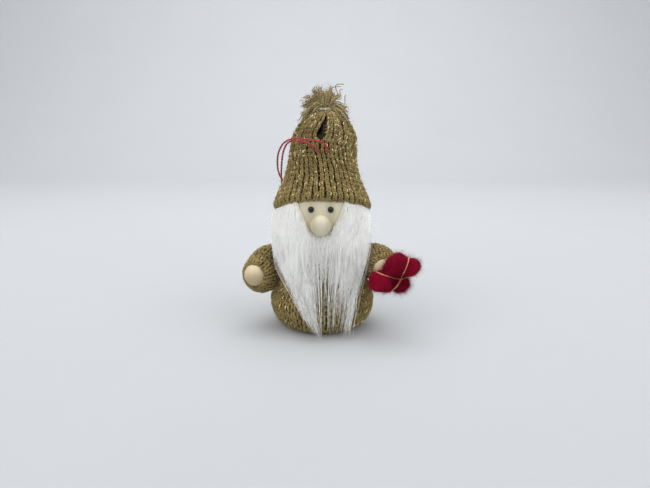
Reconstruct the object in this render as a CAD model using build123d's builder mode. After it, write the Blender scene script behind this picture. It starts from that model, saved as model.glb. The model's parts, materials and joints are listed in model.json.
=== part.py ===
from build123d import *
from math import cos, pi, radians, sin, tan
import os

# Tomte gnome: a knitted, bearded figurine with a tall hat, bead hands and a felt parcel.
# Millimetres, +Z up, the face towards -Y. The origin is the centre of the face it stands on.

os.makedirs("parts", exist_ok=True)

# ---------------------------------------------------------------- driving dimensions
wool = 2.4                    # thickness of the knitted cloth
foot_radius = 16.0            # flat part of the body it stands on
belly_radius = 26.0
belly_height = 12.5
waist_radius = 20.0
waist_height = 27.5
collar_radius = 12.5
collar_height = 39.5
disc_radius = 12.8            # card disc that closes the gathered foot
disc_thickness = 1.0

head_radius = 21.0
head_centre = Vector(0, -1.3, 56)
dowel_radius = 2.5
dowel_bottom = 22.0
dowel_top = 48.0

nose_radius = 4.8
nose_out = 2.9                # how far the bead's centre stands off the head
face_shift = -0.4             # the face is a little to one side of the middle
eye_radius = 1.45
eye_spacing = 9.1
eye_height = 62.3

backing_thickness = 0.9       # woven back of the long fur
notch_top_width = 23.0        # V cut that shows the face
notch_top = 66.0
notch_bottom_width = 13.0
notch_bottom = 50.0

hem_tilt = 17.0               # the hat sits higher over the face than behind
hem_height = 58.7             # at the middle of the head
hat_lean_back = 3.0
hat_lean_side = 0.8
hat_wall = 2.5
hat_neck_radius = 3.2
hat_neck_height = 109.0
tie_radius = 0.65
tie_height = 108.0
tuft_radius = 10.5
tuft_top = 119.8
slit_width = 3.4
slit_bottom = 96.5
slit_top = 106.0

sleeve_gap = 0.45             # clear space between a shoulder and the body
hand_radius = 5.5
wire_radius = 0.8
wire_gap = 0.12               # running clearance of the wire in the body
wire_bend = 2.5               # radius of the wire's bend in the shoulder
shoulder_turn = 20.0          # each shoulder pin points this far forwards
pin_depth = 19.0              # how far the arm wire runs into the body

parcel_length = 24.5
parcel_width = 18.0
parcel_thickness = 9.0
parcel_corner = 4.2
parcel_centre = Vector(33.9, -22.4, 31.8)
parcel_slope = 8.0            # the parcel's long side rises outwards
lurex = 0.9                   # side of the gold cord's section
lurex_sunk = 0.5

cord_diameter = 1.0

# ---------------------------------------------------------------- shared shapes


def turned(points, inset=0.0):
    """A turned solid about +Z whose side is a smooth curve through (radius, height) points."""
    side = [(radius - inset, height) for radius, height in points]
    with BuildPart() as solid:
        with BuildSketch(Plane.XZ):
            with BuildLine():
                Spline(*side)
                Polyline(side[-1], (0, side[-1][1]), (0, side[0][1]), side[0])
            make_face()
        revolve(axis=Axis.Z)
    return solid.part


def capsule(start, end, radius):
    """A round-ended bar of one radius from start to end."""
    run = end - start
    flat = Plane(origin=start, x_dir=run, z_dir=run.cross(Vector(0, 0, 1)))
    with BuildPart() as solid:
        with BuildSketch(flat):
            with BuildLine():
                Line((-radius, 0), (run.length + radius, 0))
                RadiusArc((run.length + radius, 0), (run.length, radius), -radius)
                Line((run.length, radius), (0, radius))
                RadiusArc((0, radius), (-radius, 0), -radius)
            make_face()
        revolve(axis=Axis(start, run))
    return solid.part


def rod(points, radius, bend_radius):
    """A round rod along straight runs joined by arcs of one radius."""
    with BuildPart() as solid:
        with BuildLine() as route:
            FilletPolyline(*points, radius=bend_radius)
        with BuildSketch(Plane(origin=route.line @ 0, z_dir=route.line % 0)):
            Circle(radius)
        sweep()
    return solid.part


def ball(centre, radius):
    """A plain ball."""
    with BuildPart() as solid:
        with Locations(centre):
            Sphere(radius)
    return solid.part


def save(solid, label):
    """Name a finished piece and write it out."""
    solid.label = label
    export_step(solid, f"parts/{label}.step")


body_side = [
    (foot_radius, 0),
    (belly_radius - 2.6, 4.2),
    (belly_radius, belly_height),
    (belly_radius - 1.7, 19.5),
    (waist_radius, waist_height),
    (collar_radius + 3.8, 34.5),
    (collar_radius, collar_height),
]

head_form = ball(head_centre, head_radius)
hem_plane = Plane(
    origin=(0, 0, hem_height),
    z_dir=(0, sin(radians(hem_tilt)), cos(radians(hem_tilt))),
)
hat_plane = Plane(
    origin=(0, 0, hem_height),
    z_dir=(sin(radians(hat_lean_side)), sin(radians(hat_lean_back)), 1),
)
nose_centre = Vector(face_shift, head_centre.Y - head_radius - nose_out, head_centre.Z - 0.4)

# Each arm: shoulder, cuff and hand centres, and the way its wire leaves the body.
arms = {
    "left": dict(
        side=-1,
        radius=8.5,
        shoulder=Vector(-25.4, 1.2, 32.6),
        cuff=Vector(-31.7, -5.4, 29.2),
        hand=Vector(-32.9, -11.9, 28.4),
    ),
    "right": dict(
        side=1,
        radius=7.9,
        shoulder=Vector(24.0, 1.2, 33.4),
        cuff=Vector(28.9, -4.5, 33.0),
        hand=Vector(30.0, -13.2, 32.0),
    ),
}
turn = radians(shoulder_turn)
for arm in arms.values():
    pin = Vector(arm["side"] * cos(turn), -sin(turn), 0)
    route = [arm["shoulder"] - pin * pin_depth, arm["shoulder"] + pin * wire_bend, arm["hand"]]
    arm["wire"] = rod(route, wire_radius, wire_bend)
    arm["wire_hole"] = rod(route, wire_radius + wire_gap, wire_bend)
    arm["socket"] = ball(arm["shoulder"], arm["radius"] + sleeve_gap)

# ---------------------------------------------------------------- body

with BuildPart() as base_disc:
    Cylinder(disc_radius, disc_thickness, align=(Align.CENTER, Align.CENTER, Align.MIN))
save(base_disc.part, "base_disc")

with BuildPart() as body_cover:
    add(turned(body_side))
    add(turned([(radius, height + 0.01) for radius, height in body_side], wool), mode=Mode.SUBTRACT)
    Cylinder(disc_radius, 4 * disc_thickness, mode=Mode.SUBTRACT)
    add(head_form, mode=Mode.SUBTRACT)
    for arm in arms.values():
        add(arm["socket"], mode=Mode.SUBTRACT)
        add(arm["wire_hole"], mode=Mode.SUBTRACT)
save(body_cover.part, "body_cover")

with BuildPart() as body_core:
    add(turned([(radius, height + 0.01) for radius, height in body_side], wool))
    Cylinder(belly_radius, 2 * disc_thickness, mode=Mode.SUBTRACT)
    add(head_form, mode=Mode.SUBTRACT)
    with Locations((head_centre.X, head_centre.Y, dowel_bottom)):
        Cylinder(
            dowel_radius,
            dowel_top - dowel_bottom,
            align=(Align.CENTER, Align.CENTER, Align.MIN),
            mode=Mode.SUBTRACT,
        )
    for arm in arms.values():
        add(arm["socket"], mode=Mode.SUBTRACT)
        add(arm["wire_hole"], mode=Mode.SUBTRACT)
save(body_core.part, "body_core")

with BuildPart() as neck_dowel:
    with Locations((head_centre.X, head_centre.Y, dowel_bottom)):
        Cylinder(
            dowel_radius,
            dowel_top - dowel_bottom,
            align=(Align.CENTER, Align.CENTER, Align.MIN),
        )
    chamfer(neck_dowel.edges().filter_by(GeomType.CIRCLE), 0.6)
save(neck_dowel.part, "neck_dowel")

# ---------------------------------------------------------------- head and face

with BuildPart() as head_ball:
    add(head_form)
    with Locations((head_centre.X, head_centre.Y, head_centre.Z - head_radius)):
        Cylinder(
            dowel_radius,
            dowel_top - head_centre.Z + head_radius,
            align=(Align.CENTER, Align.CENTER, Align.MIN),
            mode=Mode.SUBTRACT,
        )
save(head_ball.part, "head_ball")

with BuildPart() as nose_bead:
    with Locations(nose_centre):
        Sphere(nose_radius)
    add(head_form, mode=Mode.SUBTRACT)
save(nose_bead.part, "nose_bead")

for label, side in (("left_eye", -1), ("right_eye", 1)):
    across = face_shift + side * eye_spacing / 2
    up = eye_height - head_centre.Z
    out = (head_radius**2 - up**2 - across**2) ** 0.5
    with BuildPart() as eye:
        with Locations((across, head_centre.Y - out, eye_height)):
            Sphere(eye_radius)
        add(head_form, mode=Mode.SUBTRACT)
    save(eye.part, label)

# ---------------------------------------------------------------- beard

with BuildPart() as face_notch:
    # The V between the two halves of the beard, rounded under the nose.
    with BuildSketch(Plane.XZ.offset(head_radius * 2)):
        with BuildLine():
            Polyline(
                (face_shift - notch_bottom_width / 2, nose_centre.Z),
                (face_shift - notch_top_width / 2, notch_top),
                (face_shift - notch_top_width / 2, notch_top + head_radius),
                (face_shift + notch_top_width / 2, notch_top + head_radius),
                (face_shift + notch_top_width / 2, notch_top),
                (face_shift + notch_bottom_width / 2, nose_centre.Z),
            )
            ThreePointArc(
                (face_shift + notch_bottom_width / 2, nose_centre.Z),
                (face_shift, notch_bottom),
                (face_shift - notch_bottom_width / 2, nose_centre.Z),
            )
        make_face()
    extrude(amount=-head_radius * 2)
notch = face_notch.part

with BuildPart() as beard_backing:
    with Locations(head_centre):
        Sphere(head_radius + backing_thickness)
    add(head_form, mode=Mode.SUBTRACT)
    add(notch, mode=Mode.SUBTRACT)
    # Only the jaw and cheeks: from under the hat to just above the collar, front half.
    split(bisect_by=Plane(origin=(0, 2, 0), z_dir=(0, 1, 0)), keep=Keep.BOTTOM)
    split(bisect_by=Plane(origin=(0, 0, collar_height + 3), z_dir=(0, 0, 1)), keep=Keep.TOP)
    split(bisect_by=hem_plane.offset(3), keep=Keep.BOTTOM)
save(beard_backing.part, "beard_backing")

# Each level of the beard: height, half width, front and back.
beard_levels = [
    (67, 20.5, -22.5, 0.5),
    (59, 22.8, -25.0, -0.5),
    (50, 23.0, -27.5, -3.5),
    (40, 21.0, -29.0, -9.0),
    (26, 17.5, -30.5, -15.5),
    (11, 15.0, -31.0, -20.0),
    (1.2, 11.5, -30.0, -23.0),
]
with BuildPart() as beard_pile:
    for height, half_width, front, back in beard_levels:
        with BuildSketch(Plane.XY.offset(height)):
            with Locations((0, (front + back) / 2)):
                Ellipse(half_width, (back - front) / 2)
    loft()
    with Locations(head_centre):
        Sphere(head_radius + backing_thickness, mode=Mode.SUBTRACT)
    add(notch, mode=Mode.SUBTRACT)
    with Locations(nose_centre):
        Sphere(nose_radius + 0.3, mode=Mode.SUBTRACT)
    split(bisect_by=hem_plane.offset(-0.3), keep=Keep.BOTTOM)
    add(turned(body_side, -0.3), mode=Mode.SUBTRACT)
    for arm in arms.values():
        add(arm["socket"], mode=Mode.SUBTRACT)
save(beard_pile.part, "beard_pile")

# ---------------------------------------------------------------- hat

# Outside of the hat as (radius, height above the hem line at the middle of the head).
hat_side = [
    (24.3, -9.5),
    (24.6, 0.5),
    (22.9, 8.0),
    (19.9, 15.2),
    (17.1, 25.0),
    (16.0, 34.7),
    (12.9, 41.8),
    (8.9, 46.6),
    (hat_neck_radius, hat_neck_height - hem_height),
]


def hat_form(inset, top_drop):
    """The hat's outline turned about its own leaning axis, shrunk by inset."""
    side = [(max(radius - inset, 0.8), height) for radius, height in hat_side]
    side[-1] = (side[-1][0], side[-1][1] - top_drop)
    upright = Plane(origin=hat_plane.origin, x_dir=hat_plane.x_dir, z_dir=-hat_plane.y_dir)
    with BuildPart() as solid:
        with BuildSketch(upright):
            with BuildLine():
                Spline(*side)
                Polyline(side[-1], (0, side[-1][1]), (0, side[0][1]), side[0])
            make_face()
        revolve(axis=Axis(hat_plane.origin, hat_plane.z_dir))
    return solid.part


with BuildPart() as hat:
    add(hat_form(0, 0))
    add(hat_form(hat_wall, 2.5), mode=Mode.SUBTRACT)
    split(bisect_by=hem_plane, keep=Keep.TOP)
    # The teardrop gap left where the knitting was gathered.
    with BuildSketch(Plane.XZ.offset(head_radius)):
        with BuildLine():
            Line((0, slit_top), (-slit_width / 2, slit_bottom + 2))
            ThreePointArc(
                (-slit_width / 2, slit_bottom + 2),
                (0, slit_bottom),
                (slit_width / 2, slit_bottom + 2),
            )
            Line((slit_width / 2, slit_bottom + 2), (0, slit_top))
        make_face()
    extrude(amount=-head_radius + 3, mode=Mode.SUBTRACT)
save(hat.part, "hat")

with BuildPart() as hat_tie:
    # Two turns of thread round the gathered top.
    with BuildSketch(Plane(hat_plane.origin, x_dir=hat_plane.x_dir, z_dir=-hat_plane.y_dir)):
        with Locations(
            (hat_neck_radius + 1.35, tie_height - hem_height - tie_radius),
            (hat_neck_radius + 1.35, tie_height - hem_height + tie_radius),
        ):
            Circle(tie_radius)
    revolve(axis=Axis(hat_plane.origin, hat_plane.z_dir))
    add(hat.part, mode=Mode.SUBTRACT)
save(hat_tie.part, "hat_tie")

with BuildPart() as hat_tuft:
    # Frayed yarn ends that spread above the thread.
    middle = (hat_neck_height + tuft_top) / 2 - hem_height
    low = hat_neck_height - hem_height + 0.1
    high = tuft_top - hem_height
    with BuildSketch(Plane(hat_plane.origin, x_dir=hat_plane.x_dir, z_dir=-hat_plane.y_dir)):
        with BuildLine():
            Polyline((hat_neck_radius, low), (0, low), (0, high))
            Spline(
                (0, high),
                (tuft_radius * 0.75, high - 1.5),
                (tuft_radius, middle),
                (tuft_radius * 0.7, low + 0.8),
                (hat_neck_radius, low),
            )
        make_face()
    revolve(axis=Axis(hat_plane.origin, hat_plane.z_dir))
    add(hat.part, mode=Mode.SUBTRACT)
    add(hat_tie.part, mode=Mode.SUBTRACT)
save(hat_tuft.part, "hat_tuft")

# ---------------------------------------------------------------- arms

for name, arm in arms.items():
    with BuildPart() as hand:
        with Locations(arm["hand"]):
            Sphere(hand_radius)
        add(arm["wire"], mode=Mode.SUBTRACT)
    save(hand.part, f"{name}_hand")

    with BuildPart() as sleeve:
        add(capsule(arm["shoulder"], arm["cuff"], arm["radius"]))
        add(capsule(arm["shoulder"], arm["cuff"], arm["radius"] - wool), mode=Mode.SUBTRACT)
        with Locations(arm["hand"]):
            Sphere(hand_radius, mode=Mode.SUBTRACT)
        add(arm["wire"], mode=Mode.SUBTRACT)
    save(sleeve.part, f"{name}_sleeve")

    with BuildPart() as stuffing:
        add(capsule(arm["shoulder"], arm["cuff"], arm["radius"] - wool))
        with Locations(arm["hand"]):
            Sphere(hand_radius, mode=Mode.SUBTRACT)
        add(arm["wire"], mode=Mode.SUBTRACT)
    save(stuffing.part, f"{name}_stuffing")

    save(arm["wire"], f"{name}_arm_wire")

# ---------------------------------------------------------------- parcel

# Local frame of the parcel: x along its long side, y through its thickness, z up its short side.
slope = radians(parcel_slope)
parcel_plane = Plane(
    origin=parcel_centre,
    x_dir=(cos(slope), -0.12, sin(slope)),
    z_dir=(-sin(slope), -0.05, cos(slope)),
)


def band(length, width, plane):
    """A gold cord drawn tight round the parcel, lying half in the felt."""
    outer = lurex - lurex_sunk
    inner = lurex_sunk
    with BuildPart() as solid:
        with BuildSketch(plane):
            RectangleRounded(length + 2 * outer, width + 2 * outer, parcel_corner - 0.1)
            RectangleRounded(
                length - 2 * inner, width - 2 * inner, parcel_corner - 1.0, mode=Mode.SUBTRACT
            )
        extrude(amount=lurex / 2, both=True)
    return solid.part


with BuildPart() as parcel_form:
    with Locations(parcel_plane.location):
        Box(parcel_length, parcel_thickness, parcel_width)
    fillet(parcel_form.edges(), parcel_corner)
    with Locations(arms["right"]["hand"]):
        Sphere(hand_radius, mode=Mode.SUBTRACT)

long_plane = parcel_plane.rotated((0, 0, 0))
long_band = band(parcel_length, parcel_thickness, long_plane)
cross_plane = Plane(origin=parcel_plane.origin, x_dir=parcel_plane.z_dir, z_dir=parcel_plane.x_dir)
cross_band = band(parcel_width, parcel_thickness, cross_plane)

with BuildPart() as gift_parcel:
    add(parcel_form.part)
    add(long_band, mode=Mode.SUBTRACT)
    add(cross_band, mode=Mode.SUBTRACT)
save(gift_parcel.part, "gift_parcel")

with BuildPart() as gift_cord_long:
    add(long_band)
    with Locations(arms["right"]["hand"]):
        Sphere(hand_radius, mode=Mode.SUBTRACT)
save(gift_cord_long.part, "gift_cord_long")

with BuildPart() as gift_cord_cross:
    add(cross_band)
    add(long_band, mode=Mode.SUBTRACT)
    with Locations(arms["right"]["hand"]):
        Sphere(hand_radius, mode=Mode.SUBTRACT)
save(gift_cord_cross.part, "gift_cord_cross")

# ---------------------------------------------------------------- hanging cord

# A limp loop of thread, both ends drawn through the front of the hat, laid over its side.
cord_route = [
    (-0.4, -13.4, 86.9),
    (-1.8, -17.0, 89.6),
    (-6.2, -16.8, 92.4),
    (-11.6, -12.8, 93.6),
    (-16.2, -7.2, 92.8),
    (-19.0, -1.8, 88.2),
    (-20.2, 2.6, 81.6),
    (-21.0, 7.6, 74.4),
    (-20.8, 14.4, 67.8),
    (-18.4, 21.4, 61.0),
    (-16.2, 26.0, 52.8),
    (-15.0, 27.8, 44.4),
    (-12.0, 28.4, 37.8),
    (-6.0, 28.6, 36.2),
    (-2.0, 29.2, 41.2),
    (-3.6, 29.4, 49.4),
    (-8.6, 28.6, 57.6),
    (-14.8, 25.0, 64.6),
    (-20.0, 18.6, 70.2),
    (-22.4, 11.2, 75.4),
    (-22.6, 4.2, 81.2),
    (-21.4, -1.8, 88.0),
    (-17.8, -7.6, 93.0),
    (-12.0, -13.8, 94.8),
    (-5.6, -17.8, 93.8),
    (0.2, -18.4, 93.0),
    (3.0, -17.0, 90.2),
    (3.6, -13.4, 87.6),
]


def route_radii(points):
    """The largest arc that each corner of the route has room for."""
    radii = []
    for before, corner, after in zip(points, points[1:], points[2:]):
        run_in = Vector(corner) - Vector(before)
        run_out = Vector(after) - Vector(corner)
        half_turn = radians(run_in.get_angle(run_out)) / 2
        radii.append(0.45 * min(run_in.length, run_out.length) / tan(half_turn))
    return radii


cord_radii = route_radii(cord_route)
with BuildPart() as hanging_cord:
    with BuildLine() as cord_line:
        FilletPolyline(*cord_route, radius=cord_radii)
    with BuildSketch(Plane(origin=cord_line.line @ 0, z_dir=cord_line.line % 0)):
        Circle(cord_diameter / 2)
    sweep()
save(hanging_cord.part, "hanging_cord")
cord_length = sum(edge.length for edge in cord_line.edges())
cord_volume = pi * cord_diameter**2 / 4 * cord_length
print("cord length", round(cord_length, 1))
print("cord radii", [round(radius, 1) for radius in cord_radii])
print("cord volume against section times length", round(hanging_cord.part.volume / cord_volume, 3))
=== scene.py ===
import json
from math import cos, pi, radians, sin, tan

import bmesh
import bpy
import numpy as np
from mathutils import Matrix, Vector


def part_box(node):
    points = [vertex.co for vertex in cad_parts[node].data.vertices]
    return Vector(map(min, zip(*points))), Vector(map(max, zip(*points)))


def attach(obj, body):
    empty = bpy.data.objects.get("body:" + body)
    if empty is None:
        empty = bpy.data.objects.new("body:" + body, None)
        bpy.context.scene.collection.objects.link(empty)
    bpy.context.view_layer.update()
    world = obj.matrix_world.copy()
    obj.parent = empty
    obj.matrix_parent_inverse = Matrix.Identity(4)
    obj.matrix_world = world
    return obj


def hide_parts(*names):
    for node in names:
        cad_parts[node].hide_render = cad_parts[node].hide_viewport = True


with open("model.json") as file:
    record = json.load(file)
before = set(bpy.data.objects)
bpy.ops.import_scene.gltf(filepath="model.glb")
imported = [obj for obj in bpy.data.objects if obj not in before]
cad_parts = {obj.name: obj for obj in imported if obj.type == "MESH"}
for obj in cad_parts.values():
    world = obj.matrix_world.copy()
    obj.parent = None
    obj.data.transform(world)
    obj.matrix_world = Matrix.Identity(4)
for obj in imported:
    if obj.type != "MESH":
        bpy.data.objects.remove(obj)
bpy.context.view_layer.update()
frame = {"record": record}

# A knitted tomte gnome. Shapes are worked out in millimetres and put into meshes in metres.
MM = 0.001


def node_box(node):
    """Lowest and highest corners of a CAD node, in millimetres."""
    low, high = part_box(node)
    return np.array(low) / MM, np.array(high) / MM


def ball_of(node):
    """Centre and radius of a ball whose top, left and right are whole."""
    low, high = node_box(node)
    radius = (high[0] - low[0]) / 2
    return np.array([(low[0] + high[0]) / 2, (low[1] + high[1]) / 2, high[2] - radius]), radius


head_centre, head_radius = ball_of("head_ball")
nose_low, nose_high = node_box("nose_bead")
parcel_low, parcel_high = node_box("gift_parcel")
hands = {side: ball_of(f"{side}_hand") for side in ("left", "right")}
shoulders = {
    joint["child"].removesuffix("_arm"): np.array(joint["pos_m"]) / MM
    for joint in frame["record"]["behaviour"]["joints"]
}

# ---------------- camera and softboxes

camera_place = (0.0015, -0.252, 0.0994)
camera_pitch = radians(77.0)
camera_lens = 28.0


def make_camera():
    """A short lens a little above the figure, looking slightly down."""
    data = bpy.data.cameras.new("camera")
    data.lens = camera_lens
    camera = bpy.data.objects.new("camera", data)
    camera.location = camera_place
    camera.rotation_euler = (camera_pitch, 0, 0)
    bpy.context.collection.objects.link(camera)
    bpy.context.scene.camera = camera


def soft_light(name, place, aim, size, power, colour=(1.0, 1.0, 1.0)):
    """A square softbox at a place, turned towards a point."""
    data = bpy.data.lights.new(name, "AREA")
    data.shape = "SQUARE"
    data.size = size
    data.energy = power
    data.color = colour
    light = bpy.data.objects.new(name, data)
    light.location = place
    away = np.array(place) - np.array(aim)
    flat = np.hypot(away[0], away[1])
    light.rotation_euler = (np.arctan2(flat, away[2]), 0, np.arctan2(away[0], -away[1]))
    bpy.context.collection.objects.link(light)


make_camera()

# ---------------- the maker's tools


def smooth_line(points, count=240):
    """Catmull-Rom curve through the points, sampled at even steps of its length."""
    points = np.asarray(points, float)
    ends = np.vstack([2 * points[0] - points[1], points, 2 * points[-1] - points[-2]])
    t = np.linspace(0, 1, 24, endpoint=False)[:, None]
    spans = [
        0.5 * (2 * b + (c - a) * t + (2 * a - 5 * b + 4 * c - d) * t**2 + (3 * b - a - 3 * c + d) * t**3)
        for a, b, c, d in zip(ends, ends[1:], ends[2:], ends[3:])
    ]
    dense = np.vstack(spans + [points[-1:]])
    run = np.concatenate([[0], np.cumsum(np.linalg.norm(np.diff(dense, axis=0), axis=1))])
    even = np.linspace(0, run[-1], count)
    return np.stack([np.interp(even, run, dense[:, k]) for k in range(dense.shape[1])], 1)


def unit(vectors):
    """Vectors scaled to length one."""
    return vectors / np.maximum(np.linalg.norm(vectors, axis=-1, keepdims=True), 1e-9)


def ripple(place, seed, size, octaves=2):
    """Soft random heights in -1..1: sums of sine waves in random directions."""
    rng = np.random.default_rng(seed)
    total = np.zeros(place.shape[:-1])
    for octave in range(octaves):
        for direction in unit(rng.normal(size=(5, 3))):
            phase = rng.uniform(0, 2 * pi)
            total += np.sin(place @ direction * 2 * pi / size * 2**octave + phase) / 2**octave
    return total / 5 / 1.5


class Shape:
    """Points, faces and texture coordinates gathered for one mesh."""

    def __init__(self):
        self.points = []
        self.faces = []
        self.coordinates = []
        self.count = 0

    def add(self, points, faces, coordinates):
        """Takes points (n, 3), a list of face arrays and their coordinates per corner."""
        self.points.append(points)
        self.faces += [face + self.count for face in faces]
        self.coordinates += coordinates
        self.count += len(points)

    def piece(self, name, body, finish, slot):
        """The mesh object, in metres, riding on a body."""
        mesh = bpy.data.meshes.new(name)
        rows = [row for face in self.faces for row in face.tolist()]
        mesh.from_pydata((np.vstack(self.points) * MM).tolist(), [], rows)
        layer = mesh.uv_layers.new(name="weave")
        flat = np.concatenate([c.reshape(-1, 2) for c in self.coordinates])
        layer.data.foreach_set("uv", flat.astype(np.float32).ravel())
        mesh.polygons.foreach_set("use_smooth", np.full(len(mesh.polygons), True))
        mesh.materials.append(finish)
        mesh.update()
        thing = bpy.data.objects.new(name, mesh)
        bpy.context.collection.objects.link(thing)
        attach(thing, body)
        return thing


def tubes(shape, paths, radius, across, sides=6, ring=False):
    """Adds tubes along paths (n, k, 3). Each ring of points is the path's point plus the radius
    times (cos a N + sin a B), where N is the across direction made square to the path and B is
    the path's direction crossed with N. Open tubes end in a point."""
    count, steps = paths.shape[:2]
    if ring:
        along = np.roll(paths, -1, 1) - np.roll(paths, 1, 1)
    else:
        along = np.gradient(paths, axis=1)
    along = unit(along)
    normal = unit(across - (across * along).sum(-1, keepdims=True) * along)
    side = np.cross(along, normal)
    angle = np.arange(sides) * 2 * pi / sides
    radius = np.broadcast_to(radius, (count, steps))[..., None, None]
    turn = np.cos(angle)[:, None] * normal[:, :, None] + np.sin(angle)[:, None] * side[:, :, None]
    points = (paths[:, :, None] + radius * turn).reshape(-1, 3)
    index = np.arange(count * steps * sides).reshape(count, steps, sides)
    after = np.roll(index, -1, 1) if ring else index[:, 1:]
    here = index if ring else index[:, :-1]
    quads = np.stack([here, np.roll(here, -1, 2), np.roll(after, -1, 2), after], -1).reshape(-1, 4)
    step = np.linalg.norm(np.diff(paths, axis=1), axis=-1)
    run = np.concatenate([np.zeros((count, 1)), np.cumsum(step, 1)], 1)
    stop = run[:, 1:]
    if ring:
        stop = np.concatenate([stop, stop[:, -1:] + step[:, -1:]], 1)
    start = run[:, : stop.shape[1]]
    turn_at = np.arange(sides + 1) / sides
    shape_now = (count, stop.shape[1], sides)
    low, high = (np.broadcast_to(turn_at[k : k + sides], shape_now) for k in (0, 1))
    near, far = (np.broadcast_to(run_at[:, :, None], shape_now) for run_at in (start, stop))
    corners = np.stack([low, near, high, near, high, far, low, far], -1).reshape(-1, 4, 2)
    faces, coordinates = [quads], [corners]
    if not ring:
        first, last = paths[:, 0], paths[:, -1]
        tip_size = radius[:, -1, 0] * along[:, -1]
        root_size = radius[:, 0, 0] * along[:, 0]
        points = np.vstack([points, last + tip_size, first - root_size])
        tip = np.arange(count)[:, None] + count * steps * sides
        root = tip + count
        around, back = index[:, -1], index[:, 0]
        caps = [
            np.stack([around, np.roll(around, -1, 1), np.broadcast_to(tip, around.shape)], -1),
            np.stack([np.roll(back, -1, 1), back, np.broadcast_to(root, back.shape)], -1),
        ]
        for cap in caps:
            faces.append(cap.reshape(-1, 3))
            coordinates.append(np.zeros((cap.shape[0] * sides, 3, 2)))
    shape.add(points, faces, coordinates)


def wound(shape, line, out, ply, pitch, ring=False):
    """Adds two plies wound round each other along a line. Each runs 0.92 of its own radius off
    the line, towards cos p out + sin p side, and p makes a whole number of turns."""
    side = np.cross(unit(np.gradient(line, axis=0)), out)
    step = np.linalg.norm(np.roll(line, -1, 0) - line, axis=1)
    if not ring:
        step[-1] = 0
    run = step.cumsum()
    phase = run / run[-1] * np.round(run[-1] / pitch) * 2 * pi
    for start in (0, pi):
        way = np.cos(phase + start)[:, None] * out + np.sin(phase + start)[:, None] * side
        tubes(shape, (line + 0.92 * ply * way)[None], ply, out[None], ring=ring)


def grid(shape, points, wrap_u=False, wrap_v=False):
    """Adds a sheet of points (a, b, 3). It is closed along either way if asked."""
    a, b = points.shape[:2]
    index = np.arange(a * b).reshape(a, b)
    u = np.roll(index, -1, 0) if wrap_u else index[1:]
    here = index if wrap_u else index[:-1]
    if wrap_v:
        quads = np.stack([here, np.roll(here, -1, 1), np.roll(u, -1, 1), u], -1)
    else:
        quads = np.stack([here[:, :-1], here[:, 1:], u[:, 1:], u[:, :-1]], -1)
    rows, columns = quads.shape[:2]
    v0, u0 = np.meshgrid(np.arange(columns), np.arange(rows))
    corners = np.stack([u0, v0, u0, v0 + 1, u0 + 1, v0 + 1, u0 + 1, v0], -1) / max(a, b)
    shape.add(points.reshape(-1, 3), [quads.reshape(-1, 4)], [corners.reshape(-1, 4, 2)])


def normals_of(surface, turn, rise):
    """Outward directions of a surface: its two slopes, by small differences, crossed."""
    small = 1e-3
    by_turn = surface(turn + small, rise) - surface(turn - small, rise)
    by_rise = surface(turn, np.minimum(rise + small, 1)) - surface(turn, np.maximum(rise - small, 0))
    return unit(np.cross(by_turn, by_rise))


def closed(piece):
    """The piece with its seams merged, its holes filled and its faces turned outwards."""
    clean = bmesh.new()
    clean.from_mesh(piece.data)
    bmesh.ops.remove_doubles(clean, verts=clean.verts, dist=0.01 * MM)
    bmesh.ops.holes_fill(clean, edges=[edge for edge in clean.edges if edge.is_boundary])
    bmesh.ops.recalc_face_normals(clean, faces=clean.faces)
    clean.to_mesh(piece.data)
    clean.free()
    return piece


def shell_piece(name, surface, inset, thickness, body, finish, slot, turns=96, rises=48):
    """A thin closed sheet of painted shade just under the stitches: the surface moved in, twice, and
    joined.
    """
    turn, rise = np.meshgrid(np.linspace(0, 2 * pi, turns + 1), np.linspace(0, 1, rises), indexing="ij")
    out = normals_of(surface, turn, rise)
    outer = surface(turn, rise) - inset * out
    inner = outer - thickness * out
    shape = Shape()
    loop = np.concatenate([outer, inner[:, ::-1]], 1)
    grid(shape, loop, wrap_v=True)
    piece = shape.piece(name, body, finish, slot)
    return closed(piece)


# ---------------- knitting

yarn_radius = 0.60
loop_steps = 12


def stitches(surface, columns, rows, lean=0.20, height=0.78, depth=0.6, rib=0.0, seed=1):
    """Centre lines of the yarn, one ring for each row of stitches, and the outward directions.
    In each stitch the yarn goes across by t + lean sin 4 pi t + pinch sin 2 pi t, up and down by
    -height cos 2 pi t rows, and in and out by -depth cos 4 pi t - rib cos 2 pi t, so that rib
    sinks the yarn between the columns and pinch opens those valleys."""
    rng = np.random.default_rng(seed)
    t = np.arange(columns * loop_steps) / loop_steps
    row = np.arange(rows)[:, None]
    uneven = 1 + 0.13 * np.repeat(rng.normal(size=(rows, columns)), loop_steps, 1)
    sway = 0.13 * np.repeat(rng.normal(size=(rows, columns)), loop_steps, 1) * np.sin(pi * t) ** 2
    pinch = 0.08 * rib
    turn = (t + lean * np.sin(4 * pi * t) + pinch * np.sin(2 * pi * t) + sway + 0.5) * 2 * pi / columns
    rise = (row + height - height * uneven * np.cos(2 * pi * t)) / (rows - 1 + 2 * height)
    rise = np.clip(rise, 0.002, 0.998)
    out = normals_of(surface, turn, rise)
    lift = -depth * np.cos(4 * pi * t) - rib * np.cos(2 * pi * t)
    return surface(turn, rise) + lift[..., None] * out, out


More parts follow.
